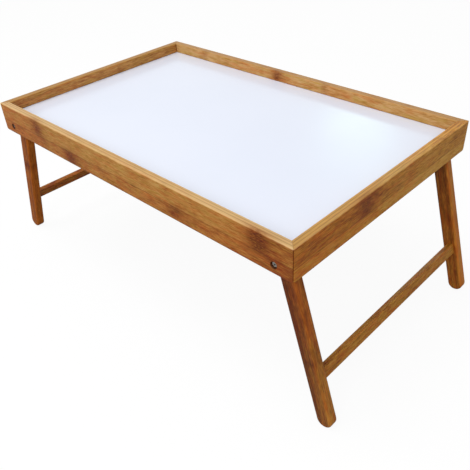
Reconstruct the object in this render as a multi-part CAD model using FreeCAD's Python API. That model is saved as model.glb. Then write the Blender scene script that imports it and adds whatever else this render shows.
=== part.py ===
import FreeCAD, Part
import math
import os

# Folding bed tray table: a mitred bamboo box with a white panel in a groove, and
# two leg frames that turn on bolts through the long rails.
# Frame: X along the tray, Y from front to rear, Z up, origin on the floor under the
# tray's centre. All lengths in millimetres, all angles in degrees.

Vector = FreeCAD.Vector

# Tray box
tray_length = 500.0          # outside, along X
tray_width = 314.0           # outside, along Y
rail_height = 38.0
rail_thickness = 10.0
arris_radius = 1.5           # rounding on the long edges of the rails
corner_radius = 1.5          # rounding of the four upright corners
lower_corner_radius = 6.0    # easing of the rails' lower corners

# White panel, held in a groove round the inside of the box
panel_drop = 14.0            # from the rim down to the panel's face
panel_thickness = 4.0
groove_depth = 5.0
groove_slack = 0.2           # free height over the panel in its groove
panel_edge_gap = 0.5         # from the panel's edge to the groove's back

# Keys glued across the mitres
key_thickness = 2.0
key_width = 8.0
key_height = 13.0
key_rise = 3.0               # from the rails' underside up to the key
key_gap = 0.1                # glue gap round the key

# Legs
leg_width = 18.0
leg_thickness = 12.0
leg_reach = 199.0            # from the pivot to the tip of the foot
leg_splay = 16.5             # from upright, feet outwards
leg_edge_radius = 2.5
pivot_drop = 28.0            # from the rim down to the pivot
stop_gap = 0.2               # from an open leg to the end rail that stops it

# Crossbar of each leg frame
crossbar_height = 13.0       # along the leg
crossbar_depth = 7.5         # across the leg
crossbar_station = 137.0     # from the pivot along the leg
crossbar_offset = 1.0        # from the leg's middle towards its outer edge
crossbar_edge_radius = 1.0

# Dowels between the crossbar and the legs
dowel_diameter = 4.0
dowel_in_leg = 7.0
dowel_in_crossbar = 11.0
dowel_gap = 0.05             # glue gap round the dowel
dowel_end_gap = 0.5          # free depth past each end of the dowel

# Pivot hardware
bolt_diameter = 4.0
bolt_head_diameter = 6.2
bolt_head_height = 2.0
bolt_head_rounding = 0.9
bolt_end_length = 1.0        # bolt showing past the nut
bolt_end_rounding = 0.5
recess_span = 3.8            # cross recess in the bolt's head
recess_arm = 1.2
recess_depth = 1.2
counterbore_gap = 0.6        # round the bolt's head
counterbore_depth = 3.4
rail_bore_gap = 0.15         # round the bolt in the rail
leg_bore_gap = 0.08          # running fit of the leg on its bolt
washer_diameter = 10.0
washer_thickness = 1.0
washer_bore_gap = 0.15       # round the bolt in a washer
leg_side_play = 0.1          # each side of a leg between its washers
nut_across_flats = 7.0
nut_hex_height = 3.4
nut_collar_height = 1.6
nut_collar_diameter = 6.4
nut_collar_rounding = 0.8
thread_gap = 0.05            # round the bolt in the nut

# Working values
overshoot = 1.0              # how far a cutting tool runs past the face it opens
near = 0.01                  # how close counts as on a face

# Places worked out from the sizes
splay = math.radians(leg_splay)
foot_radius = leg_width / 2
tray_height = pivot_drop + (leg_reach - foot_radius) * math.cos(splay) + foot_radius
rail_base = tray_height - rail_height
pivot_z = tray_height - pivot_drop
end_rail_inside = tray_length / 2 - rail_thickness
long_rail_inside = tray_width / 2 - rail_thickness
stop_centre_x = end_rail_inside + arris_radius
stop_centre_z = rail_base + arris_radius
stop_distance = foot_radius + stop_gap + arris_radius
stop_fall = (pivot_z - stop_centre_z) * math.sin(splay)
pivot_x = stop_centre_x - (stop_distance + stop_fall) / math.cos(splay)
leg_outer_y = long_rail_inside - washer_thickness - leg_side_play
leg_inner_y = leg_outer_y - leg_thickness
leg_washer_y = leg_inner_y - leg_side_play
nut_y = leg_washer_y - washer_thickness
nut_height = nut_hex_height + nut_collar_height
bolt_tip_y = nut_y - nut_height - bolt_end_length
bolt_seat_y = tray_width / 2 - counterbore_depth

SIDES = {"left": -1, "right": 1}
ENDS = {"front": -1, "rear": 1}


def block(low, high):
    """A box between two corners."""
    size = Vector(*high) - Vector(*low)
    return Part.makeBox(size.x, size.y, size.z, Vector(*low))


def cylinder_y(radius, y_start, y_end):
    """A cylinder round the Y axis."""
    return Part.makeCylinder(radius, y_end - y_start, Vector(0, y_start, 0), Vector(0, 1, 0))


def round_edges(shape, radius, keep):
    """Rounds the edges that keep() picks."""
    return shape.makeFillet(radius, [edge for edge in shape.Edges if keep(edge)])


def runs_along(edge, axis):
    """True for a straight edge along an axis."""
    if not isinstance(edge.Curve, Part.Line):
        return False
    return abs(edge.tangentAt(edge.FirstParameter).dot(axis)) > 0.999


def mirrored(shape, x_side, y_end):
    """A piece of the right rear quarter, taken to its own quarter."""
    origin = Vector(0, 0, 0)
    if x_side < 0:
        shape = shape.mirror(origin, Vector(1, 0, 0))
    if y_end < 0:
        shape = shape.mirror(origin, Vector(0, 1, 0))
    return shape


def save(shape, node):
    """Writes one node and reports its volume."""
    shape.exportStep(os.path.join("parts", node + ".step"))
    print(f"{node}: {len(shape.Solids)} solid(s), {shape.Volume:.1f} mm3, valid {shape.isValid()}")


def tray_envelope():
    """The outside of the tray box, with its four upright corners rounded."""
    low = (-tray_length / 2, -tray_width / 2, rail_base)
    high = (tray_length / 2, tray_width / 2, tray_height)
    return round_edges(block(low, high), corner_radius, lambda edge: runs_along(edge, Vector(0, 0, 1)))


def rail_stock(length):
    """A grooved rail along X, its outer face at y = 0 and the groove facing -Y."""
    stock = block((-length / 2, -rail_thickness, rail_base), (length / 2, 0, tray_height))
    stock = round_edges(stock, arris_radius, lambda edge: runs_along(edge, Vector(1, 0, 0)))
    groove_floor = tray_height - panel_drop - panel_thickness
    groove_roof = tray_height - panel_drop + groove_slack
    groove_back = -rail_thickness + groove_depth
    groove = block((-length / 2, -rail_thickness, groove_floor), (length / 2, groove_back, groove_roof))
    return stock.cut(groove)


def mitred(stock, length):
    """The stock with its lower corners eased and both ends cut at 45 degrees."""
    half = length / 2

    def at_lower_corner(edge):
        return runs_along(edge, Vector(0, 1, 0)) and edge.CenterOfMass.z < rail_base + near

    face = block((-half, -rail_thickness, rail_base), (half, 0, tray_height))
    face = round_edges(face, lower_corner_radius, at_lower_corner)
    inside = half - rail_thickness
    plan = [(-half, 0), (half, 0), (inside, -rail_thickness), (-inside, -rail_thickness)]
    corners = [Vector(x, y, rail_base) for x, y in plan]
    mitres = Part.Face(Part.makePolygon(corners + corners[:1])).extrude(Vector(0, 0, rail_height))
    return stock.common(face).common(mitres)


def key_block(gap):
    """The right rear mitre key, or with a gap the slot that holds it."""
    half_across = key_width / 2 + gap
    half_thick = key_thickness / 2 + gap
    base = rail_base + key_rise
    key = block((-half_across, -half_thick, base - gap), (half_across, half_thick, base + key_height + gap))
    key.rotate(Vector(0, 0, 0), Vector(0, 0, 1), -45)
    middle = rail_thickness / 2
    key.translate(Vector(tray_length / 2 - middle, tray_width / 2 - middle, 0))
    return key


def key_slots():
    """The slots for the keys at all four corners."""
    slots = [mirrored(key_block(key_gap), x_side, y_end)
             for x_side in SIDES.values() for y_end in ENDS.values()]
    return slots[0].multiFuse(slots[1:])


def rail_bore():
    """The bolt's hole through a long rail, with the counterbore for its head."""
    hole = cylinder_y(bolt_diameter / 2 + rail_bore_gap, long_rail_inside - overshoot, tray_width / 2)
    sink_radius = bolt_head_diameter / 2 + counterbore_gap
    sink = cylinder_y(sink_radius, bolt_seat_y, tray_width / 2 + overshoot)
    bore = hole.fuse(sink)
    bore.translate(Vector(pivot_x, 0, pivot_z))
    return bore


def make_rails(envelope):
    """The two long rails and the two end rails."""
    slots = key_slots()
    rear = mitred(rail_stock(tray_length), tray_length)
    rear.translate(Vector(0, tray_width / 2, 0))
    rear = rear.common(envelope).cut(slots)
    for x_side in SIDES.values():
        rear = rear.cut(mirrored(rail_bore(), x_side, 1))
    right = mitred(rail_stock(tray_width), tray_width)
    right.rotate(Vector(0, 0, 0), Vector(0, 0, 1), -90)
    right.translate(Vector(tray_length / 2, 0, 0))
    right = right.common(envelope).cut(slots)
    for end, y_end in ENDS.items():
        save(mirrored(rear, 1, y_end), f"{end}_rail")
    for side, x_side in SIDES.items():
        save(mirrored(right, x_side, 1), f"{side}_end_rail")


def make_panel():
    """The white panel, its edges inside the grooves."""
    reach = groove_depth - panel_edge_gap
    half_x = end_rail_inside + reach
    half_y = long_rail_inside + reach
    top = tray_height - panel_drop
    save(block((-half_x, -half_y, top - panel_thickness), (half_x, half_y, top)), "tray_panel")


def make_keys():
    """A glued key across each mitre."""
    for side, x_side in SIDES.items():
        for end, y_end in ENDS.items():
            save(mirrored(key_block(0), x_side, y_end), f"{side}_{end}_mitre_key")


def opened(shape):
    """A piece of an upright leg frame at the origin, splayed and hung on the right pivot."""
    shape = shape.copy()
    shape.rotate(Vector(0, 0, 0), Vector(0, 1, 0), -leg_splay)
    shape.translate(Vector(pivot_x, 0, pivot_z))
    return shape


def leg_blank():
    """An upright rear leg with two round ends, pivot at the origin."""
    foot_z = -(leg_reach - foot_radius)
    middle = block((-foot_radius, leg_inner_y, foot_z), (foot_radius, leg_outer_y, 0))
    head = cylinder_y(foot_radius, leg_inner_y, leg_outer_y)
    foot = head.copy()
    foot.translate(Vector(0, 0, foot_z))
    leg = middle.multiFuse([head, foot]).removeSplitter()

    def on_a_face(edge):
        y = edge.CenterOfMass.y
        return abs(y - leg_inner_y) < near or abs(y - leg_outer_y) < near

    return round_edges(leg, leg_edge_radius, on_a_face)


def dowel_place(shape):
    """Moves a dowel or its hole from the origin to the crossbar's end."""
    shape.translate(Vector(crossbar_offset, 0, -crossbar_station))
    return shape


def make_leg():
    """The right rear leg, bored for its bolt and for the crossbar's dowel."""
    bore_radius = bolt_diameter / 2 + leg_bore_gap
    bore = cylinder_y(bore_radius, leg_inner_y - overshoot, leg_outer_y + overshoot)
    hole_end = leg_inner_y + dowel_in_leg + dowel_end_gap
    hole = cylinder_y(dowel_diameter / 2 + dowel_gap, leg_inner_y - overshoot, hole_end)
    hole = dowel_place(hole)
    return opened(leg_blank().cut(bore).cut(hole))


def make_crossbar():
    """The right crossbar, bored at both ends."""
    half_x = crossbar_depth / 2
    half_z = crossbar_height / 2
    bar = block((-half_x, -leg_inner_y, -half_z), (half_x, leg_inner_y, half_z))
    bar = round_edges(bar, crossbar_edge_radius, lambda edge: runs_along(edge, Vector(0, 1, 0)))
    hole_end = leg_inner_y - dowel_in_crossbar - dowel_end_gap
    hole = cylinder_y(dowel_diameter / 2 + dowel_gap, hole_end, leg_inner_y + overshoot)
    bar = bar.cut(hole).cut(mirrored(hole, 1, -1))
    return opened(dowel_place(bar))


def make_dowels():
    """The two dowels of the right leg frame."""
    dowel = cylinder_y(dowel_diameter / 2, leg_inner_y - dowel_in_crossbar, leg_inner_y + dowel_in_leg)
    rear = opened(dowel_place(dowel))
    return Part.makeCompound([rear, mirrored(rear, 1, -1)])


def make_leg_frames():
    """Both leg frames, the left one a mirror image of the right one."""
    leg = make_leg()
    crossbar = make_crossbar()
    dowels = make_dowels()
    for side, x_side in SIDES.items():
        for end, y_end in ENDS.items():
            save(mirrored(leg, x_side, y_end), f"{side}_{end}_leg")
        save(mirrored(crossbar, x_side, 1), f"{side}_crossbar")
        save(mirrored(dowels, x_side, 1), f"{side}_crossbar_dowels")


def make_bolt():
    """The right rear pivot bolt, with a domed head and a cross recess."""
    head_top = bolt_seat_y + bolt_head_height
    head = cylinder_y(bolt_head_diameter / 2, bolt_seat_y, head_top)
    head = round_edges(head, bolt_head_rounding, lambda edge: edge.CenterOfMass.y > head_top - near)
    half_span = recess_span / 2
    half_arm = recess_arm / 2
    recess_floor = head_top - recess_depth
    arm = block((-half_span, recess_floor, -half_arm), (half_span, head_top, half_arm))
    cross = block((-half_arm, recess_floor, -half_span), (half_arm, head_top, half_span))
    shank = cylinder_y(bolt_diameter / 2, bolt_tip_y, bolt_seat_y)
    shank = round_edges(shank, bolt_end_rounding, lambda edge: edge.CenterOfMass.y < bolt_tip_y + near)
    return shank.fuse(head).cut(arm.fuse(cross)).removeSplitter()


def make_washer(y_start):
    """A flat washer round the bolt."""
    y_end = y_start + washer_thickness
    disc = cylinder_y(washer_diameter / 2, y_start, y_end)
    return disc.cut(cylinder_y(bolt_diameter / 2 + washer_bore_gap, y_start, y_end))


def make_nut():
    """A lock nut: a hexagon with a round collar on its inner side."""
    corner = nut_across_flats / 2 / math.cos(math.radians(30))
    turns = [math.radians(60 * turn) for turn in range(6)]
    points = [Vector(corner * math.cos(turn), nut_y, corner * math.sin(turn)) for turn in turns]
    hexagon = Part.Face(Part.makePolygon(points + points[:1])).extrude(Vector(0, -nut_hex_height, 0))
    bevel = corner - nut_across_flats / 2
    turned = cylinder_y(corner, nut_y - nut_hex_height, nut_y)
    turned = turned.makeChamfer(bevel, [edge for edge in turned.Edges if edge.Closed])
    collar = cylinder_y(nut_collar_diameter / 2, nut_y - nut_height, nut_y - nut_hex_height)
    collar = round_edges(collar, nut_collar_rounding,
                         lambda edge: edge.CenterOfMass.y < nut_y - nut_height + near)
    bore = cylinder_y(bolt_diameter / 2 + thread_gap, nut_y - nut_height, nut_y)
    return hexagon.common(turned).fuse(collar).cut(bore).removeSplitter()


def make_hardware():
    """The bolt, washers and lock nut of each pivot."""
    pieces = {
        "pivot_bolt": make_bolt(),
        "rail_washer": make_washer(long_rail_inside - washer_thickness),
        "leg_washer": make_washer(leg_washer_y - washer_thickness),
        "lock_nut": make_nut(),
    }
    for name, piece in pieces.items():
        piece.translate(Vector(pivot_x, 0, pivot_z))
        for side, x_side in SIDES.items():
            for end, y_end in ENDS.items():
                save(mirrored(piece, x_side, y_end), f"{side}_{end}_{name}")


def main():
    os.makedirs("parts", exist_ok=True)
    make_rails(tray_envelope())
    make_panel()
    make_keys()
    make_leg_frames()
    make_hardware()
    print(f"rim {tray_height:.2f}, pivot x {pivot_x:.2f}, pivot z {pivot_z:.2f}")


main()
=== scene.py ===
import math

import bpy
from mathutils import Matrix, Vector


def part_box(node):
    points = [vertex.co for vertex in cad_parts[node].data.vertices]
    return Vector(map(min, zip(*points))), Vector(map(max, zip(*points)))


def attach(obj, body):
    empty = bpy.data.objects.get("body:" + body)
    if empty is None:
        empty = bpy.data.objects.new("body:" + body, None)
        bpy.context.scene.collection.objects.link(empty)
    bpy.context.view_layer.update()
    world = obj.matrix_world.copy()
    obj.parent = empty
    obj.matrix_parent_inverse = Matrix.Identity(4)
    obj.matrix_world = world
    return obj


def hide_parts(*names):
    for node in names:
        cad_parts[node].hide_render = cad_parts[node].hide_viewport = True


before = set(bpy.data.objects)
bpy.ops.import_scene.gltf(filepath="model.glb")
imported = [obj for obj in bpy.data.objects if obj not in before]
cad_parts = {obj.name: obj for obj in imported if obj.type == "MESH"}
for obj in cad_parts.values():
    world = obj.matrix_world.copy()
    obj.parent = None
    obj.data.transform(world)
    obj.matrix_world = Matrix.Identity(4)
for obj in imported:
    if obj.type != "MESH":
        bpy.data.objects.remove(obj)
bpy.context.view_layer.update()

millimetre = 0.001
perMetre = 1000  # divided by a pattern's size in mm, this is its scale
sixthTurn = math.radians(60)
quarterTurn = math.radians(90)
halfTurn = math.radians(180)
sides = {"left": -1, "right": 1}
ends = {"front": -1, "rear": 1}
quarters = [(side, end) for side in sides for end in ends]


def boxInMm(nodeName):
    low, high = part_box(nodeName)
    return low / millimetre, high / millimetre


# Places on the object, in mm: the tray's outside, the rails' underside, the panel above
# it, the rear right pivot and the outer face of a leg
trayHalf = (boxInMm("right_end_rail")[1].x, boxInMm("rear_rail")[1].y)
railBase = boxInMm("front_rail")[0].z
panelTop = boxInMm("tray_panel")[1].z - railBase
boltLow, boltHigh = boxInMm("right_rear_pivot_bolt")
pivotX, pivotZ = (boltLow.x + boltHigh.x) / 2, (boltLow.z + boltHigh.z) / 2
legFace = boxInMm("right_rear_leg")[1].y


# Camera: the photo's viewing angle, worked out from the tray's edges and feet
cameraSettings = {
    "target": (74.43, -52.62, 94.46),  # mm, the point in the middle of the picture
    "azimuth": 45.841,  # degrees
    "elevation": 35.832,
    "roll": -3.567,
    "distance": 710.006,  # mm
    "lens": 44.2395,  # mm
    "sensor": 36.0,  # mm
}


def makeCamera():
    azimuth = math.radians(cameraSettings["azimuth"])
    elevation = math.radians(cameraSettings["elevation"])
    roll = math.radians(cameraSettings["roll"])
    back = Vector((math.sin(azimuth) * math.cos(elevation),
                   -math.cos(azimuth) * math.cos(elevation), math.sin(elevation)))
    right = Vector((0, 0, 1)).cross(back).normalized()
    up = back.cross(right)
    turnedRight = right * math.cos(roll) + up * math.sin(roll)
    turnedUp = up * math.cos(roll) - right * math.sin(roll)
    place = (Vector(cameraSettings["target"]) + back * cameraSettings["distance"]) * millimetre
    turn = Matrix((turnedRight, turnedUp, back)).transposed().to_4x4()
    data = bpy.data.cameras.new("photoCamera")
    data.lens = cameraSettings["lens"]
    data.sensor_width = cameraSettings["sensor"]
    camera = bpy.data.objects.new("photoCamera", data)
    camera.matrix_world = Matrix.Translation(place) @ turn
    bpy.context.scene.collection.objects.link(camera)
    bpy.context.scene.camera = camera
    print("camera placed")


# Materials
def hexColour(text):  # sRGB hex to linear
    channels = [int(text[i:i + 2], 16) / 255 for i in (1, 3, 5)]
    linear = [c / 12.92 if c <= 0.04045 else ((c + 0.055) / 1.055) ** 2.4 for c in channels]
    return (*linear, 1.0)


def addNode(tree, kind, inputs=(), **settings):  # an input is a value, a hex colour, a socket or another node
    node = tree.nodes.new("ShaderNode" + kind)
    for name, value in settings.items():
        setattr(node, name, value)
    for name, value in inputs.items() if isinstance(inputs, dict) else enumerate(inputs):
        if isinstance(value, bpy.types.Node):
            value = next(output for output in value.outputs if output.enabled)
        if isinstance(value, bpy.types.NodeSocket):
            tree.links.new(value, node.inputs[name])
        else:
            node.inputs[name].default_value = hexColour(value) if isinstance(value, str) else value
    return node


def newMaterial(name):
    material = bpy.data.materials.new(name)
    material.use_nodes = True
    tree = material.node_tree
    tree.nodes.clear()
    return material, tree


def finishMaterial(tree, shaderInputs):
    shader = addNode(tree, "BsdfPrincipled", shaderInputs)
    addNode(tree, "OutputMaterial", {"Surface": shader})


def grainNoise(tree, place, lengths, detail, shift):  # lengths in mm along, into and up the piece
    scale = [1 / length for length in lengths]
    spot = addNode(tree, "Mapping", {"Vector": place, "Location": shift, "Scale": scale})
    return addNode(tree, "TexNoise", {"Vector": spot, "Scale": 1.0, "Detail": detail, "Roughness": 0.55})


def addChanges(tree, value, distance, changes):  # each grows from nothing to its amount between two places
    for start, end, amount in changes:
        change = addNode(tree, "MapRange", [distance, start, end, 0.0, amount])
        value = addNode(tree, "Math", [value, change], operation="ADD")
    return value


# How a Mix node lays its second colour, input 7, over its first, input 6
cover = {"data_type": "RGBA", "blend_type": "MIX"}
darken = {"data_type": "RGBA", "blend_type": "MULTIPLY"}

# A noise mostly stays between these two, and its middle half between the next two
wideNoise = (0.3, 0.7)
midNoise = (0.35, 0.65)


# Carbonised bamboo: steamed strips glued up in layers, planed, sanded and given a
# satin lacquer. It looks honey to caramel, with long fibres and darker knuckles. Each
# piece adds its seed, its origin in mm and its turn, and what it has of its own.
bambooSettings = {
    # Colours
    "light": "#CFA15A",
    "mid": "#BB8239",
    "dark": "#894A18",
    "toneStops": (0.1, 0.5, 0.95),  # how dark a spot is where these three stand
    "redTint": "#FFD0B0",  # strips that were steamed longer
    "oliveTint": "#EEF0C0",  # strips from near the bark
    "glue": "#7E5230",
    "boreShadeColour": "#3C1F0E",  # painted shade on the walls of a drilled hole

    # Strips, glued side by side and in layers
    "pieceHeight": 38.0,  # mm
    "rowSeams": (16.7,),  # mm up: the glue line between a rail's two strips
    "layerSeams": (3.4, 6.7),  # mm deep: glue lines between its layers
    "seamWidths": (0.1, 0.7),  # mm, full and faded: really 0.1, drawn as wide as it needs to show
    "seamDepth": 0.45,
    "cellContrast": 0.22,  # how much the strips differ
    "shade": 0.0,  # extra darkness all over
    "rowShades": (0.0, 0.0),  # the same for the lower and the upper strip
    "climbs": [(2.4, 0.4, 0.4)],  # from mm, to mm up, extra darkness: painted shade along the lower edge
    "fades": [],  # the same along the piece
    "red": 0.0,  # extra red all over
    "rowReds": (0.0, 0.0),
    "redFades": [],

    # Grain: mm along, mm across, contrast
    "patches": (20.0, 6.0, 0.8),
    "streaks": (28.0, 1.5, 0.8),  # darker bundles of fibres
    "fibres": (7.0, 0.8, 1.2),  # fibre ends, really 0.2 mm, drawn as coarse as they need to show
    "blush": (22.0, 4.0),  # patches that are redder or greener
    "redRange": (0.45, 0.68, 0.8),  # from, to in that noise, extra red
    "oliveRange": (0.48, 0.3, 0.9),

    # Painted sheen on the top and a painted highlight along its outer edge
    "sheenColour": "#C99C5E",  # painted sheen, the paler look of a top that catches light
    "sheenBlend": 0.0,
    "sheenFades": [],  # from mm, to mm along the piece, change of that
    "sheenDepths": (0.3, 1.1),  # mm under the top: pale down to the first, gone at the second
    # painted highlight along the outer top edge, where it catches light
    "edgeHighlightColour": "#EBD0A0",
    "edgeHighlightBlend": 0.0,
    "edgeHighlightWidths": (1.0, 2.0),  # mm
    "edgeHighlightRagged": 1.2,  # mm

    # Knuckles: mm along, mm deep, mm up, reach up, width along, strength
    "knuckles": [],
    "knuckleHeart": "#AE8F70",  # these two darken what lies under them
    "knuckleHalo": "#DEC2A8",
    "knuckleFade": {"heart": -1.6, "halo": -0.4},  # how soon each fades away from its middle
    "knuckleDepth": 4.0,  # mm, how far a knuckle reaches into the piece
    "knuckleRagged": (40.0, 4.0, 16.0),  # mm along, mm across, mm that its edge strays
    "dashes": (4.0, 0.9),  # mm, the short marks at its heart
    "dashRange": (0.4, 0.6, 0.2, 1.2),  # from, to in their noise, from, to in strength
    "wildKnuckles": 0.5,  # strength of those that are scattered over the rest
    "wildSpacing": 230.0,  # mm between the knuckles of one strip
    "wildWidth": 6.0,  # mm

    # Joints and holes
    "mitreAt": 0.0,  # mm from the middle of the rail to its mitred corner
    "mitreWidths": (0.25, 0.8),  # mm
    "mitreDepths": (0.5, 2.5, 0.3, 0.9),  # from mm, to mm under the top, faint there and dark below
    "panelShadowWidths": (0.2, 1.0),  # mm, the painted shadow line where the panel enters its groove
    "panelShadowDepth": 0.6,
    "grooveSide": 9.0,  # mm deep, past which a rail faces the panel
    "bores": [],  # mm along, mm up: drilled holes
    "boreRadius": 3.75,
    "boreEdge": 0.4,  # mm
    "boreShadeStrength": 0.85,

    "roughness": (0.36, 0.5),  # satin lacquer over sanded bamboo
    "ior": 1.5,
    "gloss": 0.2,  # a thin coat that the open fibres break up
    "fibreRelief": 0.5,  # fibres stand a little proud, seams lie a little low
    "streakRelief": 0.4,
    "seamRelief": -0.6,
    "reliefStrength": 0.15,
    "reliefDepth": 0.2,  # mm
}


def readSpot(tree, values):  # where a spot lies on its piece, in mm, and on which strip
    place = addNode(tree, "TexCoord").outputs["Object"]
    origin = [distance * millimetre for distance in values["origin"]]
    place = addNode(tree, "Mapping", {"Vector": place, "Location": origin, "Rotation": values["turn"],
                                      "Scale": (millimetre,) * 3}, vector_type="TEXTURE")
    along, depth, height = addNode(tree, "SeparateXYZ", [place]).outputs
    fromTop = addNode(tree, "Math", [values["pieceHeight"], height], operation="SUBTRACT")

    cell, toSeam = 0.0, 100.0  # the strip's number, and mm that are farther than any seam
    for distance, seams, step in ((height, values["rowSeams"], 1), (depth, values["layerSeams"], 10)):
        for seamAt in seams:
            beyond = addNode(tree, "Math", [distance, seamAt], operation="SUBTRACT")
            passed = addNode(tree, "Math", [beyond, 0.0], operation="GREATER_THAN")
            cell = addNode(tree, "Math", [passed, step, cell], operation="MULTIPLY_ADD")
            gap = addNode(tree, "Math", [beyond], operation="ABSOLUTE")
            toSeam = addNode(tree, "Math", [gap, toSeam], operation="MINIMUM")
    number = addNode(tree, "Math", [cell, values["seed"] * 100], operation="ADD")
    return {
        "place": place, "along": along, "depth": depth, "height": height, "fromTop": fromTop,
        "chance": addNode(tree, "TexWhiteNoise", {"W": number}, noise_dimensions="1D"),
        "seam": addNode(tree, "MapRange", [toSeam, *values["seamWidths"], 1.0, 0.0]),
        "isUpper": addNode(tree, "Math", [cell, 0.5], operation="GREATER_THAN"),
    }


def readGrain(tree, spot, values):  # the shifts keep one noise from following another
    seed = values["seed"]
    grain = {}
    for kind, detail, shift in (("patches", 2, (11, seed, 2)), ("streaks", 3, (0, 13, seed)),
                                ("fibres", 2, (seed, 1, 17)), ("blush", 3, (7, seed, 31))):
        length, width = values[kind][:2]
        grain[kind] = grainNoise(tree, spot["place"], (length, width, width), detail, shift)
    return grain


def stripColour(tree, spot, grain, values):
    middle, spread = 0.5 + values["shade"], values["cellContrast"] / 2
    tone = addNode(tree, "MapRange", [spot["chance"], 0.0, 1.0, middle - spread, middle + spread])
    for kind in ("patches", "streaks", "fibres"):
        centred = addNode(tree, "Math", [grain[kind], 0.5], operation="SUBTRACT")
        tone = addNode(tree, "Math", [centred, values[kind][2], tone], operation="MULTIPLY_ADD")
    row = addNode(tree, "MapRange", [spot["isUpper"], 0.0, 1.0, *values["rowShades"]])
    tone = addNode(tree, "Math", [tone, row], operation="ADD")
    tone = addChanges(tree, tone, spot["height"], values["climbs"])
    tone = addChanges(tree, tone, spot["along"], values["fades"])
    ramp = addNode(tree, "ValToRGB", [tone])
    stops = ramp.color_ramp.elements
    lightAt, midAt, darkAt = values["toneStops"]
    stops[0].position, stops[0].color = lightAt, hexColour(values["light"])
    stops[1].position, stops[1].color = darkAt, hexColour(values["dark"])
    stops.new(midAt).color = hexColour(values["mid"])

    olive = addChanges(tree, 0.0, grain["blush"], [values["oliveRange"]])
    red = addChanges(tree, values["red"], grain["blush"], [values["redRange"]])
    row = addNode(tree, "MapRange", [spot["isUpper"], 0.0, 1.0, *values["rowReds"]])
    red = addNode(tree, "Math", [red, row], operation="ADD")
    red = addChanges(tree, red, spot["along"], values["redFades"])
    colour = addNode(tree, "Mix", {0: olive, 6: ramp, 7: values["oliveTint"]}, **darken)
    return addNode(tree, "Mix", {0: red, 6: colour, 7: values["redTint"]}, **darken)


# Painted sheen on the top faces and a painted highlight along the outer top edge
def addPaintedSheen(tree, colour, spot, grain, values):
    if values["sheenBlend"]:
        sheenStrength = addChanges(tree, values["sheenBlend"], spot["along"], values["sheenFades"])
        paler = addNode(tree, "MapRange", [spot["fromTop"], *values["sheenDepths"], 1.0, 0.0])
        paler = addNode(tree, "Math", [paler, sheenStrength], operation="MULTIPLY")
        colour = addNode(tree, "Mix", {0: paler, 6: colour, 7: values["sheenColour"]}, **cover)
    # painted highlight along the outer top edge
    if values["edgeHighlightBlend"]:
        inward = addNode(tree, "Math", [spot["depth"], 0.0], operation="MAXIMUM")
        away = addNode(tree, "Math", [spot["fromTop"], inward], operation="ADD")
        ragged = addNode(tree, "Math", [grain["patches"], values["edgeHighlightRagged"]], operation="MULTIPLY")
        away = addNode(tree, "Math", [away, ragged], operation="ADD")
        highlit = addNode(tree, "MapRange", [away, *values["edgeHighlightWidths"], values["edgeHighlightBlend"], 0.0])
        colour = addNode(tree, "Mix", {0: highlit, 6: colour, 7: values["edgeHighlightColour"]}, **cover)
    return colour


# Soft dark bands across one strip, with short dashes at the heart
def addKnuckles(tree, colour, spot, values):
    seed = values["seed"]
    length, width, stray = values["knuckleRagged"]
    ragged = grainNoise(tree, spot["place"], (length, width, width), 3, (5, 9, seed))
    ragged = addNode(tree, "Math", [ragged, stray, -stray / 2], operation="MULTIPLY_ADD")
    along = addNode(tree, "Math", [spot["along"], ragged], operation="ADD")

    # Those that are scattered over the rest, at another place on each strip
    spacing = values["wildSpacing"]
    wild = addNode(tree, "Math", [spot["chance"], spacing * 3, along], operation="MULTIPLY_ADD")
    wild = addNode(tree, "Math", [wild, spacing / 2], operation="PINGPONG")
    wild = addNode(tree, "Math", [wild, values["wildWidth"]], operation="DIVIDE")
    wild = addNode(tree, "Math", [wild, wild], operation="MULTIPLY")
    wild = addNode(tree, "Math", [wild, -1.0], operation="MULTIPLY")
    wild = addNode(tree, "Math", [wild], operation="EXPONENT")
    wild = addNode(tree, "Math", [wild, values["wildKnuckles"]], operation="MULTIPLY")
    bands = {"heart": wild, "halo": wild}

    # Those at their own places: the fourth power ends them where their strip ends
    for atAlong, atDepth, atHeight, reach, wide, strength in values["knuckles"]:
        off = addNode(tree, "Math", [along, atAlong], operation="SUBTRACT")
        off = addNode(tree, "Math", [off, wide], operation="DIVIDE")
        far = addNode(tree, "Math", [off, off], operation="MULTIPLY")
        for axis, middle, size in (("height", atHeight, reach), ("depth", atDepth, values["knuckleDepth"])):
            off = addNode(tree, "Math", [spot[axis], middle], operation="SUBTRACT")
            off = addNode(tree, "Math", [off, size], operation="DIVIDE")
            off = addNode(tree, "Math", [off], operation="ABSOLUTE")
            off = addNode(tree, "Math", [off, 4.0], operation="POWER")
            far = addNode(tree, "Math", [far, off], operation="ADD")
        for part, fade in values["knuckleFade"].items():
            band = addNode(tree, "Math", [far, fade], operation="MULTIPLY")
            band = addNode(tree, "Math", [band], operation="EXPONENT")
            band = addNode(tree, "Math", [band, strength], operation="MULTIPLY")
            bands[part] = addNode(tree, "Math", [bands[part], band], operation="MAXIMUM")

    length, width = values["dashes"]
    dashes = grainNoise(tree, spot["place"], (length, width, width), 2, (3, seed, 5))
    dashes = addNode(tree, "MapRange", [dashes, *values["dashRange"]])
    heart = addNode(tree, "Math", [bands["heart"], dashes], operation="MULTIPLY")
    colour = addNode(tree, "Mix", {0: bands["halo"], 6: colour, 7: values["knuckleHalo"]}, **darken)
    return addNode(tree, "Mix", {0: heart, 6: colour, 7: values["knuckleHeart"]}, **darken)
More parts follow.
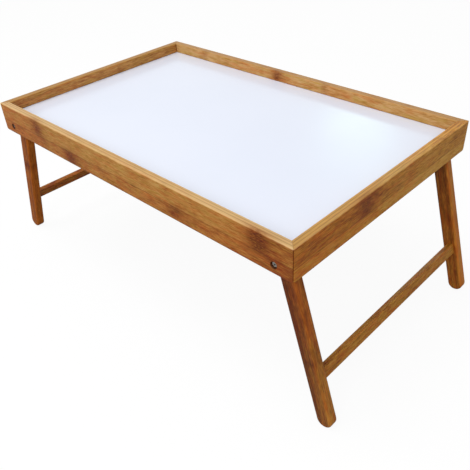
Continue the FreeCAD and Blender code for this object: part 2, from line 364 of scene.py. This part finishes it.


# Seams between strips, the line of the mitre and a painted shadow line over the panel
def jointLines(tree, spot, values):
    line = addNode(tree, "Math", [spot["seam"], values["seamDepth"]], operation="MULTIPLY")
    if not values["mitreAt"]:
        return line
    outward = addNode(tree, "Math", [spot["along"]], operation="ABSOLUTE")
    outward = addNode(tree, "Math", [outward, spot["depth"]], operation="ADD")
    toMitre = addNode(tree, "Math", [outward, values["mitreAt"]], operation="SUBTRACT")
    toMitre = addNode(tree, "Math", [toMitre], operation="ABSOLUTE")
    mitre = addNode(tree, "MapRange", [toMitre, *values["mitreWidths"], 1.0, 0.0])
    dark = addNode(tree, "MapRange", [spot["fromTop"], *values["mitreDepths"]])
    mitre = addNode(tree, "Math", [mitre, dark], operation="MULTIPLY")

    # painted shadow where the panel meets a rail's inner face
    toPanel = addNode(tree, "Math", [spot["height"], panelTop], operation="SUBTRACT")
    toPanel = addNode(tree, "Math", [toPanel], operation="ABSOLUTE")
    panelShadow = addNode(tree, "MapRange", [toPanel, *values["panelShadowWidths"], values["panelShadowDepth"], 0.0])
    inside = addNode(tree, "Math", [spot["depth"], values["grooveSide"]], operation="GREATER_THAN")
    panelShadow = addNode(tree, "Math", [panelShadow, inside], operation="MULTIPLY")
    for other in (mitre, panelShadow):
        line = addNode(tree, "Math", [line, other], operation="MAXIMUM")
    return line


# Painted shade inside each drilled hole and on a thin ring round it
def addBores(tree, colour, spot, values):
    for atAlong, atHeight in values["bores"]:
        aside = addNode(tree, "Math", [spot["along"], atAlong], operation="SUBTRACT")
        above = addNode(tree, "Math", [spot["height"], atHeight], operation="SUBTRACT")
        away = addNode(tree, "Math", [above, above], operation="MULTIPLY")
        away = addNode(tree, "Math", [aside, aside, away], operation="MULTIPLY_ADD")
        away = addNode(tree, "Math", [away], operation="SQRT")
        edge = values["boreRadius"] + values["boreEdge"]
        boreShadeMask = addNode(tree, "MapRange", [away, values["boreRadius"], edge, values["boreShadeStrength"], 0.0])
        colour = addNode(tree, "Mix", {0: boreShadeMask, 6: colour, 7: values["boreShadeColour"]}, **cover)
    return colour


def makeBamboo(name, look):
    values = {**bambooSettings, **look}
    material, tree = newMaterial(name)
    spot = readSpot(tree, values)
    grain = readGrain(tree, spot, values)
    colour = stripColour(tree, spot, grain, values)
    colour = addPaintedSheen(tree, colour, spot, grain, values)
    colour = addKnuckles(tree, colour, spot, values)
    line = jointLines(tree, spot, values)
    colour = addNode(tree, "Mix", {0: line, 6: colour, 7: values["glue"]}, **darken)
    colour = addBores(tree, colour, spot, values)

    relief = addNode(tree, "Math", [line, values["seamRelief"]], operation="MULTIPLY")
    for kind, amount in (("streaks", values["streakRelief"]), ("fibres", values["fibreRelief"])):
        relief = addNode(tree, "Math", [grain[kind], amount, relief], operation="MULTIPLY_ADD")
    bump = addNode(tree, "Bump", {"Strength": values["reliefStrength"], "Height": relief,
                                  "Distance": values["reliefDepth"] * millimetre})
    rough = addNode(tree, "MapRange", [grain["streaks"], *wideNoise, *values["roughness"]])
    finishMaterial(tree, {"Base Color": colour, "Roughness": rough, "IOR": values["ior"],
                          "Specular IOR Level": values["gloss"], "Normal": bump})
    return material


# Melamine facing: printed paper in resin, pressed on fibreboard with a satin plate.
# A cool even white that mirrors the rails softly.
melamineSettings = {
    "colour": "#E4E9F6",
    "shade": "#DCE2F0",
    "cloudSize": 180.0,  # mm, slow change of the print
    "peelSize": 1.4,  # mm, the ripple left by the press plate
    "peelStrength": 0.05,
    "peelDepth": 0.1,  # mm
    "roughness": (0.2, 0.26),
    "ior": 1.52,  # melamine resin
}


def makeMelamine():
    look = melamineSettings
    material, tree = newMaterial("satinWhiteMelamine")
    place = addNode(tree, "TexCoord").outputs["Object"]
    cloud = addNode(tree, "TexNoise", {"Vector": place, "Scale": perMetre / look["cloudSize"], "Detail": 3.0})
    peel = addNode(tree, "TexNoise", {"Vector": place, "Scale": perMetre / look["peelSize"], "Detail": 1.0})
    colour = addNode(tree, "Mix", {0: cloud, 6: look["colour"], 7: look["shade"]}, **cover)
    rough = addNode(tree, "MapRange", [cloud, *wideNoise, *look["roughness"]])
    bump = addNode(tree, "Bump", {"Strength": look["peelStrength"], "Height": peel,
                                  "Distance": look["peelDepth"] * millimetre})
    finishMaterial(tree, {"Base Color": colour, "Roughness": rough, "IOR": look["ior"], "Normal": bump})
    return material


# Beech: sawn and turned, left raw. Pale pinkish brown with short darker flecks.
beechSettings = {
    "light": "#DDBB92",
    "dark": "#C49A6C",
    "flecks": (0.3, 2.5, 0.3),  # mm
    "bands": (1.6, 30.0, 1.6),  # mm, the yearly rings
    "fleckStrength": 0.2,
    "fleckDepth": 0.1,  # mm
    "roughness": 0.62,
    "ior": 1.5,
}


def makeBeech():
    look = beechSettings
    material, tree = newMaterial("rawBeech")
    place = addNode(tree, "TexCoord").outputs["Object"]
    place = addNode(tree, "Mapping", {"Vector": place, "Scale": (millimetre,) * 3}, vector_type="TEXTURE")
    flecks = grainNoise(tree, place, look["flecks"], 2, (0, 0, 0))
    bands = grainNoise(tree, place, look["bands"], 2, (4, 0, 2))
    tone = addNode(tree, "Math", [bands, 0.5], operation="MULTIPLY")
    tone = addNode(tree, "Math", [flecks, 0.5, tone], operation="MULTIPLY_ADD")
    tone = addNode(tree, "MapRange", [tone, *midNoise, 0.0, 1.0])
    colour = addNode(tree, "Mix", {0: tone, 6: look["light"], 7: look["dark"]}, **cover)
    bump = addNode(tree, "Bump", {"Strength": look["fleckStrength"], "Height": flecks,
                                  "Distance": look["fleckDepth"] * millimetre})
    finishMaterial(tree, {"Base Color": colour, "Roughness": look["roughness"], "IOR": look["ior"],
                          "Normal": bump})
    return material


# Zinc plate on steel: tumbled and plated, bright but a little milky, duller in its marks
zincSettings = {
    "bright": "#ECEAE4",
    "dull": "#C9C6BD",
    "recessShade": "#2A211A",  # painted shade in the bolt's recess
    "recessShadeRange": (0.65, 0.95),
    "spotSize": 0.9,  # mm, clouding of the plating
    "markSize": 0.25,  # mm, tumbling marks
    "markStrength": 0.08,
    "markDepth": 0.05,  # mm
    "roughness": (0.29, 0.46),
}


def makeZinc(name, hasRecessShade):
    look = zincSettings
    material, tree = newMaterial(name)
    place = addNode(tree, "TexCoord").outputs["Object"]
    spots = addNode(tree, "TexNoise", {"Vector": place, "Scale": perMetre / look["spotSize"], "Detail": 2.0})
    marks = addNode(tree, "TexNoise", {"Vector": place, "Scale": perMetre / look["markSize"], "Detail": 2.0})
    milky = addNode(tree, "MapRange", [spots, *midNoise, 0.0, 1.0])
    colour = addNode(tree, "Mix", {0: milky, 6: look["bright"], 7: look["dull"]}, **cover)
    # the recess faces are darkened as painted shade
    if hasRecessShade:
        recessShadeMask = addNode(tree, "MapRange", [marks, *wideNoise, *look["recessShadeRange"]])
        colour = addNode(tree, "Mix", {0: recessShadeMask, 6: colour, 7: look["recessShade"]}, **cover)
    rough = addNode(tree, "MapRange", [marks, *wideNoise, *look["roughness"]])
    bump = addNode(tree, "Bump", {"Strength": look["markStrength"], "Height": marks,
                                  "Distance": look["markDepth"] * millimetre})
    finishMaterial(tree, {"Base Color": colour, "Metallic": 1.0, "Roughness": rough, "Normal": bump})
    return material


# Nylon: the moulded locking ring of the nut, milky white and waxy
nylonSettings = {
    "colour": "#DADFDC",
    "shade": "#C9CECC",
    "cloudSize": 1.5,  # mm
    "roughness": (0.38, 0.46),
    "ior": 1.53,
}


def makeNylon():
    look = nylonSettings
    material, tree = newMaterial("mouldedNylon")
    place = addNode(tree, "TexCoord").outputs["Object"]
    cloud = addNode(tree, "TexNoise", {"Vector": place, "Scale": perMetre / look["cloudSize"], "Detail": 2.0})
    colour = addNode(tree, "Mix", {0: cloud, 6: look["colour"], 7: look["shade"]}, **cover)
    rough = addNode(tree, "MapRange", [cloud, *wideNoise, *look["roughness"]])
    finishMaterial(tree, {"Base Color": colour, "Roughness": rough, "IOR": look["ior"]})
    return material


def dress(nodeName, material):
    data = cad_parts[nodeName].data
    data.materials.clear()
    data.materials.append(material)


# Rails: grain along each rail, knuckles where the photo shows them
# Each rail's top colour, blend and fades paint the sheen its top catches, and its edge blend paints a
# highlight along its outer edge
railSettings = {
    "front_rail": {
        "facing": 0, "seed": 1.0,  # degrees
        "shade": 0.03, "rowShades": (0.08, 0.0), "fades": [(40, 200, 0.05), (195, 235, 0.25)],
        "red": -0.1, "rowReds": (0.25, 0.0), "redFades": [(40, 180, 0.2), (-140, -200, 0.5)],
        "sheenColour": "#D0AF78", "sheenBlend": 0.75, "sheenFades": [(-130, -50, -0.25), (60, 150, 0.25)],
        "edgeHighlightBlend": 0.35, "wildKnuckles": 0.0,
        "knuckles": [(-161, 0, 27, 12, 11, 0.95), (-91, 0, 10, 9, 13, 1.0), (98, 0, 11, 8, 12, 0.7),
                     (209, 0, 28, 13, 12, 1.2)],
    },
    "rear_rail": {
        "facing": 180, "seed": 2.0,
        "light": "#C89F67", "mid": "#B48141", "dark": "#864E1E",
        "shade": -0.07, "fades": [(120, 220, -0.1)], "redFades": [(-120, -200, -0.5), (120, 200, -0.4)],
        "sheenColour": "#AC8048", "sheenBlend": 0.6, "wildKnuckles": 0.3,
        "knuckles": [(27, 10, 31, 8, 7, 1.0), (-172, 0, 24, 9, 12, 1.0), (-38, 0, 8, 8, 13, 0.9),
                     (128, 0, 25, 9, 11, 1.0)],
    },
    "left_end_rail": {
        "facing": -90, "seed": 3.0,
        "light": "#CEA568", "mid": "#BB8746", "dark": "#884C20",
        "shade": 0.16, "red": -0.15, "patches": (20.0, 6.0, 0.5),
        "sheenColour": "#AC803E", "sheenBlend": 0.8, "wildKnuckles": 0.2,
        "knuckles": [(84, 0, 24, 9, 12, 0.9), (-46, 0, 8, 8, 12, 0.8)],
    },
    "right_end_rail": {
        "facing": 90, "seed": 4.0,
        "light": "#D9A84C", "mid": "#C48428", "dark": "#85480C",
        "shade": 0.08, "rowSeams": (15.0,), "rowShades": (-0.03, 0.05),
        "fades": [(-20, 60, -0.12), (70, 140, 0.06)], "redFades": [(0, -120, 0.4), (40, 120, -0.6)],
        "sheenColour": "#BE9A58", "sheenBlend": 0.65, "sheenFades": [(20, 120, -0.6)],
        "edgeHighlightBlend": 0.2, "wildKnuckles": 0.0, "knuckles": [(-49, 0, 27, 12, 13, 0.9)],
    },
}


def dressTray():
    bores = [(side * pivotX, pivotZ - railBase) for side in sides.values()]
    for nodeName, look in railSettings.items():
        isLong = look["facing"] % 180 == 0
        length, reach = trayHalf if isLong else reversed(trayHalf)
        turn = math.radians(look["facing"])
        outward = Vector((math.sin(turn), -math.cos(turn), 0)) * reach
        look = {**look, "origin": (outward.x, outward.y, railBase), "turn": (0, 0, turn), "mitreAt": length,
                "bores": bores if isLong else []}
        dress(nodeName, makeBamboo(nodeName + "Bamboo", look))
    dress("tray_panel", makeMelamine())
    beech = makeBeech()
    for side, end in quarters:
        dress(f"{side}_{end}_mitre_key", beech)
    for side in sides:
        dress(f"{side}_crossbar_dowels", beech)
    print("tray dressed")


# Leg frames: redder strips set on edge, paler towards +X, grain down the legs; the extra paling of a leg's
# last few mm towards +X is painted light on its side face
legSettings = {
    "splay": 16.5,  # degrees
    "look": {
        "light": "#C08434", "mid": "#9E6624", "dark": "#6A380E", "red": 0.1,
        "rowSeams": (-3, 3), "layerSeams": (), "cellContrast": 0.3, "climbs": [(-9, 9, -0.22)],
        "streaks": (30.0, 1.2, 0.9), "knuckleDepth": 14.0, "wildKnuckles": 0.0,
    },
    # the climbs that end near 8 mm up are painted light on a leg's +X side face
    "each": {
        "left_front": {"shade": 0.03, "red": 0.8, "gloss": 0.1, "climbs": [(-9, 9, -0.1), (5, 8, -0.2)],
                       "knuckles": [(72, 5, 0, 9, 6, 0.8)]},
        "left_rear": {"shade": 0.2, "red": 0.5, "knuckles": [(118, 5, 0, 9, 6, 0.7)]},
        "right_front": {"shade": 0.44, "climbs": [(-9, 9, -0.15), (5, 8, -0.2)],
                        "fades": [(90, 180, -0.16)], "redFades": [(120, 60, 0.6)],
                        "knuckles": [(116, 5, 3, 6, 4.5, 0.6)]},
        "right_rear": {"shade": 0.3, "red": 0.4, "cellContrast": 0.1, "climbs": [(5.5, 8.5, -0.55)],
                       "fades": [(20, 110, -0.15), (100, 180, -0.1)],
                       "knuckles": [(95, 5, -1, 9, 6, 0.7)]},
    },
    "crossbarLook": {
        "light": "#C39448", "mid": "#B27A2A", "dark": "#7C4412",
        "rowSeams": (), "layerSeams": (), "cellContrast": 0.0, "climbs": [], "wildKnuckles": 0.0,
    },
    "crossbars": {"left": {"shade": 0.22, "red": 0.5}, "right": {"shade": 0.03, "red": 0.15}},
}


def dressLegs():
    splay = math.radians(legSettings["splay"])
    for seed, (side, end) in enumerate(quarters):
        look = {**legSettings["look"], "origin": (sides[side] * pivotX, ends[end] * legFace, pivotZ),
                "turn": (0, quarterTurn - sides[side] * splay, 0), "seed": 10.0 + seed,
                **legSettings["each"][f"{side}_{end}"]}
        dress(f"{side}_{end}_leg", makeBamboo(f"{side}{end.title()}LegBamboo", look))
    for seed, side in enumerate(sides):
        look = {**legSettings["crossbarLook"], "origin": (sides[side] * pivotX, 0, pivotZ),
                "turn": (0, 0, quarterTurn), "seed": 20.0 + seed, **legSettings["crossbars"][side]}
        dress(f"{side}_crossbar", makeBamboo(f"{side}CrossbarBamboo", look))
    print("leg frames dressed")


# Modelling
roundSides = 64
levelNormal = 0.9  # a face is level when its normal is at least this upright


def addPrimitive(name, kind, **sizes):
    bpy.ops.object.select_all(action="DESELECT")
    getattr(bpy.ops.mesh, f"primitive_{kind}_add")(**sizes)
    piece = bpy.context.object
    piece.name = name
    bpy.ops.object.transform_apply(location=True, rotation=True, scale=True)
    return piece


def addCylinder(name, radius, start, length, sideCount=roundSides, **more):
    return addPrimitive(name, "cylinder", vertices=sideCount, radius=radius, depth=length,
                        location=(0, 0, start + length / 2), **more)


def pickFaces(piece, wanted):  # selects the faces that wanted() accepts and stays in edit mode
    bpy.ops.object.mode_set(mode="EDIT")
    bpy.ops.mesh.select_mode(type="FACE")
    bpy.ops.mesh.select_all(action="DESELECT")
    bpy.ops.object.mode_set(mode="OBJECT")
    for face in piece.data.polygons:
        face.select = wanted(face)
    bpy.ops.object.mode_set(mode="EDIT")


def leaveEditing():
    bpy.ops.object.mode_set(mode="OBJECT")


def applyModifier(piece, kind, **settings):
    bpy.context.view_layer.objects.active = piece
    modifier = piece.modifiers.new(kind.lower(), kind)
    for name, value in settings.items():
        setattr(modifier, name, value)
    bpy.ops.object.modifier_apply(modifier=modifier.name)


def carve(piece, cutter, operation="DIFFERENCE"):  # cut faces keep the cutter's material
    applyModifier(piece, "BOOLEAN", operation=operation, solver="EXACT", object=cutter,
                  material_mode="TRANSFER")
    bpy.data.objects.remove(cutter)


def joinInto(piece, others):
    bpy.ops.object.select_all(action="DESELECT")
    for other in [*others, piece]:
        other.select_set(True)
    bpy.context.view_layer.objects.active = piece
    bpy.ops.object.join()


def smooth(piece, degrees):
    bpy.ops.object.select_all(action="DESELECT")
    piece.select_set(True)
    bpy.context.view_layer.objects.active = piece
    bpy.ops.object.shade_smooth_by_angle(angle=math.radians(degrees))


def isTop(face):
    return face.normal.z > levelNormal


def isBottom(face):
    return face.normal.z < -levelNormal


def isEnd(face):
    return isTop(face) or isBottom(face)


# Pivot hardware: drawn round the Z axis at the distance from the tray's middle that
# it has on the object, then turned to lie along Y
def placeHardware(model, ending, turns=None):  # one copy at each pivot, standing for its CAD node
    for side, end in quarters:
        piece = model.copy()
        piece.data = model.data.copy()
        piece.name = f"{side}_{end}_{ending}_detailed"
        bpy.context.scene.collection.objects.link(piece)
        turn = math.radians(turns[f"{side}_{end}"]) if turns else 0.0
        facing = 0.0 if end == "rear" else halfTurn
        place = Matrix.Translation((sides[side] * pivotX * millimetre, 0, pivotZ * millimetre))
        place = place @ Matrix.Rotation(facing, 4, "Z") @ Matrix.Rotation(-quarterTurn, 4, "X")
        piece.data.transform(place @ Matrix.Rotation(turn, 4, "Z"))
        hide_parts(f"{side}_{end}_{ending}")
        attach(piece, "tray")
    bpy.data.objects.remove(model)


def inMetres(sizes):
    return {name: size * millimetre for name, size in sizes.items()}


boltSettings = {
    "sizes": {  # mm
        "headRadius": 3.1, "headHeight": 2.0, "dome": 0.9, "shankRadius": 2.0, "tipBevel": 0.5,
        "threadLength": 7.7, "threadPitch": 0.7, "coreRadius": 1.72, "ridgeRadius": 0.315,
        "recessSpan": 3.8, "recessArm": 1.2, "recessDepth": 1.2, "pitRadius": 1.1,
    },
    "recessTaper": 0.6,  # width of the recess at its bottom, against its mouth
    "domeSteps": 8,
    "tipSteps": 3,
    "pitSides": 24,
    "threadSteps": 32,  # in one turn
    "creaseAngle": 30,  # degrees
    "turns": {"left_front": 35, "left_rear": 80, "right_front": 40, "right_rear": 60},  # degrees
}


def cutRecess(bolt, headTop, shadedRecessZinc):  # two tapered arms and a pointed pit, whose cut faces take the painted shade
    size = inMetres(boltSettings["sizes"])
    taper = boltSettings["recessTaper"]
    armSize = (size["recessSpan"], size["recessArm"], 2 * size["recessDepth"])
    for turn in (0.0, quarterTurn):
        arm = addPrimitive("recessArm", "cube", size=1.0, scale=armSize, rotation=(0, 0, turn),
                           location=(0, 0, headTop))
        pickFaces(arm, isBottom)
        bpy.ops.transform.resize(value=(taper, taper, 1))
        leaveEditing()
        arm.data.materials.append(shadedRecessZinc)
        carve(bolt, arm)
    pit = addPrimitive("recessPit", "cone", vertices=boltSettings["pitSides"], radius1=0,
                       radius2=size["pitRadius"], depth=2 * size["pitRadius"],
                       location=(0, 0, headTop - size["recessDepth"]))
    pit.data.materials.append(shadedRecessZinc)
    carve(bolt, pit)


def addThread(bolt, tip, zinc):  # a triangle swept round the core
    size = inMetres(boltSettings["sizes"])
    steps = boltSettings["threadSteps"]
    ridge = addPrimitive("thread", "circle", vertices=3, radius=size["ridgeRadius"], fill_type="NOTHING",
                         rotation=(quarterTurn, quarterTurn, 0),
                         location=(size["shankRadius"] - size["ridgeRadius"], 0, tip + size["tipBevel"]))
    turns = int((size["threadLength"] - size["tipBevel"]) / size["threadPitch"]) - 1
    applyModifier(ridge, "SCREW", axis="Z", angle=2 * halfTurn, screw_offset=size["threadPitch"],
                  iterations=turns, steps=steps, render_steps=steps, use_merge_vertices=False)
    bpy.ops.object.mode_set(mode="EDIT")
    bpy.ops.mesh.select_all(action="SELECT")
    bpy.ops.mesh.fill_holes(sides=3)
    bpy.ops.mesh.select_all(action="SELECT")
    bpy.ops.mesh.normals_make_consistent(inside=False)
    leaveEditing()
    ridge.data.materials.append(zinc)
    joinInto(bolt, [ridge])


def makeBolt(zinc, shadedRecessZinc):
    size = inMetres(boltSettings["sizes"])
    tip, headTop = boltLow.y * millimetre, boltHigh.y * millimetre
    seat = headTop - size["headHeight"]
    threadStart = tip + size["threadLength"]
    bolt = addCylinder("bolt", size["headRadius"], seat, size["headHeight"])
    pickFaces(bolt, isTop)
    bpy.ops.mesh.bevel(offset=size["dome"], segments=boltSettings["domeSteps"])
    pickFaces(bolt, isBottom)
    bpy.ops.mesh.inset(thickness=size["headRadius"] - size["shankRadius"])
    bpy.ops.mesh.extrude_region_move(TRANSFORM_OT_translate={"value": (0, 0, threadStart - seat)})
    bpy.ops.mesh.inset(thickness=size["shankRadius"] - size["coreRadius"])
    bpy.ops.mesh.extrude_region_move(TRANSFORM_OT_translate={"value": (0, 0, -size["threadLength"])})
    bpy.ops.mesh.bevel(offset=size["tipBevel"], segments=boltSettings["tipSteps"])
    leaveEditing()
    bolt.data.materials.append(zinc)
    cutRecess(bolt, headTop, shadedRecessZinc)
    addThread(bolt, tip, zinc)
    smooth(bolt, boltSettings["creaseAngle"])
    placeHardware(bolt, "pivot_bolt", boltSettings["turns"])


# Flat rings with broken edges
ringSettings = {
    "bevelSteps": 3,
    "bevelAngle": 50,  # degrees, edges sharper than this are broken
    "creaseAngle": 35,  # degrees
}


def addRing(name, radius, bore, start, thickness, bevel):
    ring = addCylinder(name, radius, start, thickness)
    pickFaces(ring, isEnd)
    bpy.ops.mesh.inset(thickness=radius - bore)
    bpy.ops.mesh.bridge_edge_loops()
    leaveEditing()
    applyModifier(ring, "BEVEL", width=bevel, segments=ringSettings["bevelSteps"], limit_method="ANGLE",
                  angle_limit=math.radians(ringSettings["bevelAngle"]))
    smooth(ring, ringSettings["creaseAngle"])
    return ring


washerSettings = {"radius": 5.0, "bore": 2.15, "thickness": 1.0, "bevel": 0.15}  # mm


def makeWashers(zinc):
    size = inMetres(washerSettings)
    for ending in ("rail_washer", "leg_washer"):
        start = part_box("right_rear_" + ending)[0].y
        washer = addRing("washer", size["radius"], size["bore"], start, size["thickness"], size["bevel"])
        washer.data.materials.append(zinc)
        placeHardware(washer, ending)


nutSettings = {
    "sizes": {  # mm
        "flats": 7.0, "hexHeight": 3.4, "bore": 2.05, "boreReach": 20.0,
        "collarHeight": 1.6, "collarReach": 2.4, "collarRadius": 3.2, "collarBevel": 0.8,
        "ringRadius": 2.65, "ringBore": 2.03, "ringDepth": 1.2, "ringGap": 0.05, "ringBevel": 0.1624,
    },
    "turningSides": 96,  # of the cone that trims its corners
    "collarSteps": 6,
    "creaseAngle": 30,  # degrees
}


def makeNut(zinc, nylon):
    size = inMetres(nutSettings["sizes"])
    flat = size["flats"] / 2
    corner = flat / math.cos(sixthTurn / 2)
    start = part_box("right_rear_lock_nut")[0].y
    hexStart = start + size["collarHeight"]
    nut = addCylinder("nut", corner, hexStart, size["hexHeight"], sideCount=6, rotation=(0, 0, sixthTurn / 2))
    turned = addCylinder("nutTurning", corner, hexStart, size["hexHeight"], nutSettings["turningSides"])
    pickFaces(turned, isEnd)
    bpy.ops.mesh.bevel(offset=corner - flat, segments=1)
    leaveEditing()
    carve(nut, turned, "INTERSECT")
    collar = addCylinder("nutCollar", size["collarRadius"], start, size["collarReach"])
    pickFaces(collar, isBottom)
    bpy.ops.mesh.bevel(offset=size["collarBevel"], segments=nutSettings["collarSteps"])
    leaveEditing()
    carve(nut, collar, "UNION")
    hexMiddle = hexStart + size["hexHeight"] / 2
    carve(nut, addCylinder("nutBore", size["bore"], hexMiddle - size["boreReach"] / 2, size["boreReach"]))
    carve(nut, addCylinder("ringSeat", size["ringRadius"], start - size["ringDepth"], 2 * size["ringDepth"]))
    smooth(nut, nutSettings["creaseAngle"])
    nut.data.materials.append(zinc)
    ring = addRing("lockRing", size["ringRadius"], size["ringBore"], start + size["ringGap"],
                   size["ringDepth"] - 2 * size["ringGap"], size["ringBevel"])
    ring.data.materials.append(nylon)
    joinInto(nut, [ring])
    placeHardware(nut, "lock_nut")


def makeHardware():
    zinc = makeZinc("zincPlatedSteel", False)
    makeBolt(zinc, makeZinc("recessShadeZincPlate", True))
    makeWashers(zinc)
    makeNut(zinc, makeNylon())
    print("pivot hardware made")


# Floor and light, sizes and places in m, power in W
stageSettings = {
    "floorSize": 8.0,
    "floorColour": "#A0A0A0",  # what the floor gives back to the object
    "seenColour": "#FFFFFF",
    "seenWhite": 0.92,
    "mirroredWhite": 0.05,
    "skyColour": "#FFFFFF",
    "skyLight": 0.5,
    "lampTarget": (0, 0, 0.15),
    "lamps": {
        "key": {"place": (-0.6, -0.5, 2.2), "size": 1.3, "power": 22.0, "colour": "#FFFFFF"},
        "fill": {"place": (1.0, -2.0, 1.7), "size": 1.4, "power": 26.0, "colour": "#FFFFFF"},
        "window": {"place": (-2.16, 3.8, 2.2), "size": 0.6, "power": 2.4, "colour": "#D0FFF0"},
    },
}


def makeFloor():
    floor = addPrimitive("studioFloor", "plane", size=stageSettings["floorSize"])
    material, tree = newMaterial("paleFloor")
    paths = addNode(tree, "LightPath").outputs
    tint = addNode(tree, "Mix", {0: paths["Is Camera Ray"], 6: stageSettings["floorColour"],
                                 7: stageSettings["seenColour"]}, **cover)
    diffuse = addNode(tree, "BsdfDiffuse", {"Color": tint})
    white = addNode(tree, "Emission", {"Color": stageSettings["seenColour"], "Strength": 1.0})
    seen = addNode(tree, "Math", [paths["Is Camera Ray"], stageSettings["seenWhite"]], operation="MULTIPLY")
    mirrored = addNode(tree, "Math", [paths["Is Glossy Ray"], paths["Is Transmission Ray"]],
                       operation="MAXIMUM")
    whitened = addNode(tree, "Math", [mirrored, stageSettings["mirroredWhite"], seen],
                       operation="MULTIPLY_ADD")
    surface = addNode(tree, "MixShader", [whitened, diffuse, white])
    addNode(tree, "OutputMaterial", {"Surface": surface})
    floor.data.materials.append(material)


def makeWorld():
    world = bpy.data.worlds.new("studioWorld")
    world.use_nodes = True
    tree = world.node_tree
    tree.nodes.clear()
    paths = addNode(tree, "LightPath").outputs
    seen = addNode(tree, "Math", [paths["Is Camera Ray"], paths["Is Glossy Ray"]], operation="MAXIMUM")
    seen = addNode(tree, "Math", [seen, paths["Is Transmission Ray"]], operation="MAXIMUM")
    strength = addNode(tree, "MapRange", [seen, 0.0, 1.0, stageSettings["skyLight"], 1.0])
    sky = addNode(tree, "Background", {"Color": stageSettings["skyColour"], "Strength": strength})
    addNode(tree, "OutputWorld", {"Surface": sky})
    bpy.context.scene.world = world


def makeLamp(name, look):
    lamp = bpy.data.lights.new(name + "Lamp", "AREA")
    lamp.shape = "SQUARE"
    lamp.size = look["size"]
    lamp.energy = look["power"]
    lamp.color = hexColour(look["colour"])[:3]
    holder = bpy.data.objects.new(name + "Lamp", lamp)
    holder.location = look["place"]
    beam = Vector(stageSettings["lampTarget"]) - Vector(look["place"])
    holder.rotation_euler = beam.to_track_quat("-Z", "Y").to_euler()
    bpy.context.scene.collection.objects.link(holder)


def makeStage():
    makeFloor()
    makeWorld()
    for name, look in stageSettings["lamps"].items():
        makeLamp(name, look)
    bpy.context.scene.view_settings.view_transform = "Standard"
    print("stage lit")


makeCamera()
dressTray()
dressLegs()
makeHardware()
makeStage()
